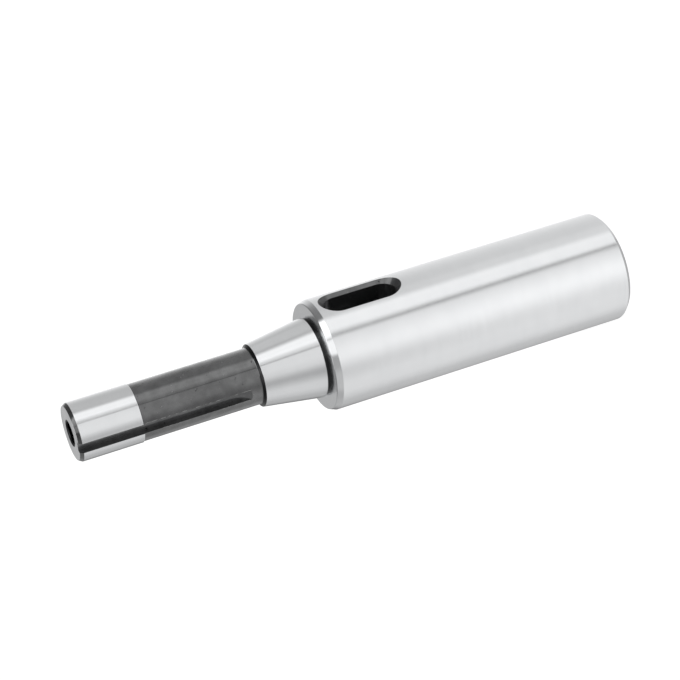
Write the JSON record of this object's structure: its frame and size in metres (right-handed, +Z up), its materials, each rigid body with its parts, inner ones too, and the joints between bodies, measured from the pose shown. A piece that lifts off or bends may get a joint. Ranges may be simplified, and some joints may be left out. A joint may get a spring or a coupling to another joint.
{
  "type": "spindle taper adapter",
  "caption": "Steel adapter with a keyed taper shank for a milling spindle and a deep tapered socket, crossed by a drift slot, that holds taper-shank tools.",
  "frame": {"origin": "centre of the socket's mouth face", "axes": "+Z up the axis to the shank's end face, Y through the drift slot, and the keyway 3.4 degrees from +X towards -Y"},
  "size_m": [0.0465, 0.0464, 0.239],
  "materials": {
    "steel": "ground bright, with the neck, keyway and slot left dark"
  },
  "bodies": {
    "root": {"taper_adapter": "steel"}
  },
  "joints": []
}
